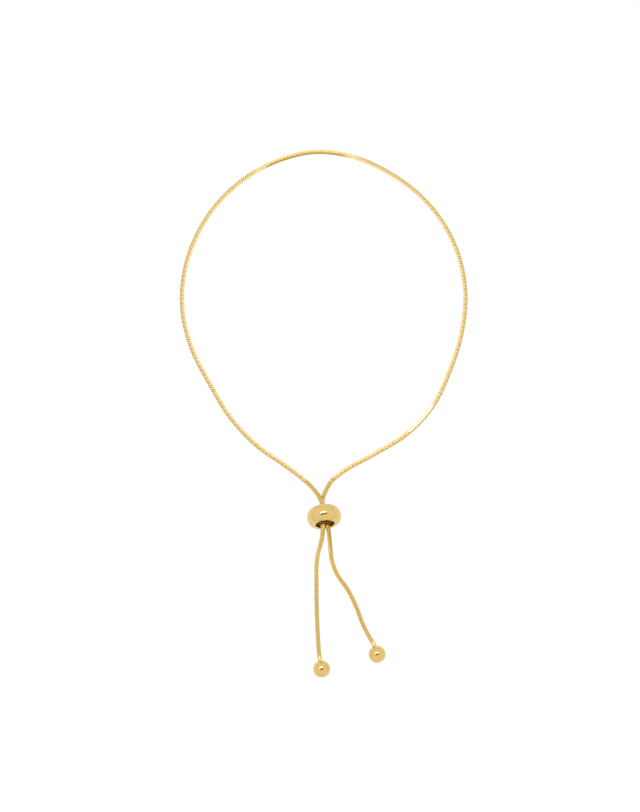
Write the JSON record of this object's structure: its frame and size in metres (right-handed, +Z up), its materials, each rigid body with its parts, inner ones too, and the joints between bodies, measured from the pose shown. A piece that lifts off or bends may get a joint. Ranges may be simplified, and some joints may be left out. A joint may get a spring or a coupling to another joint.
{
  "type": "chain bracelet",
  "caption": "Adjustable chain bracelet: a fine snake chain loop whose ends pass through a hollow round slider bead and finish in small ball beads, lying flat.",
  "frame": {"origin": "centre of the bounding box, on the surface that the bracelet lies on", "axes": "+Z up from the surface, +Y from the free ends towards the top of the loop, +X to the right seen from above"},
  "size_m": [0.0597, 0.1094, 0.0068],
  "materials": {
    "gold_chain": "polished",
    "gold_bead": "polished",
    "dark_rubber": "matte"
  },
  "bodies": {
    "root": {"snake_chain": "gold_chain", "slider_bead": "gold_bead", "slider_grip": "dark_rubber", "end_bead_left": "gold_bead", "end_bead_right": "gold_bead"}
  },
  "joints": []
}
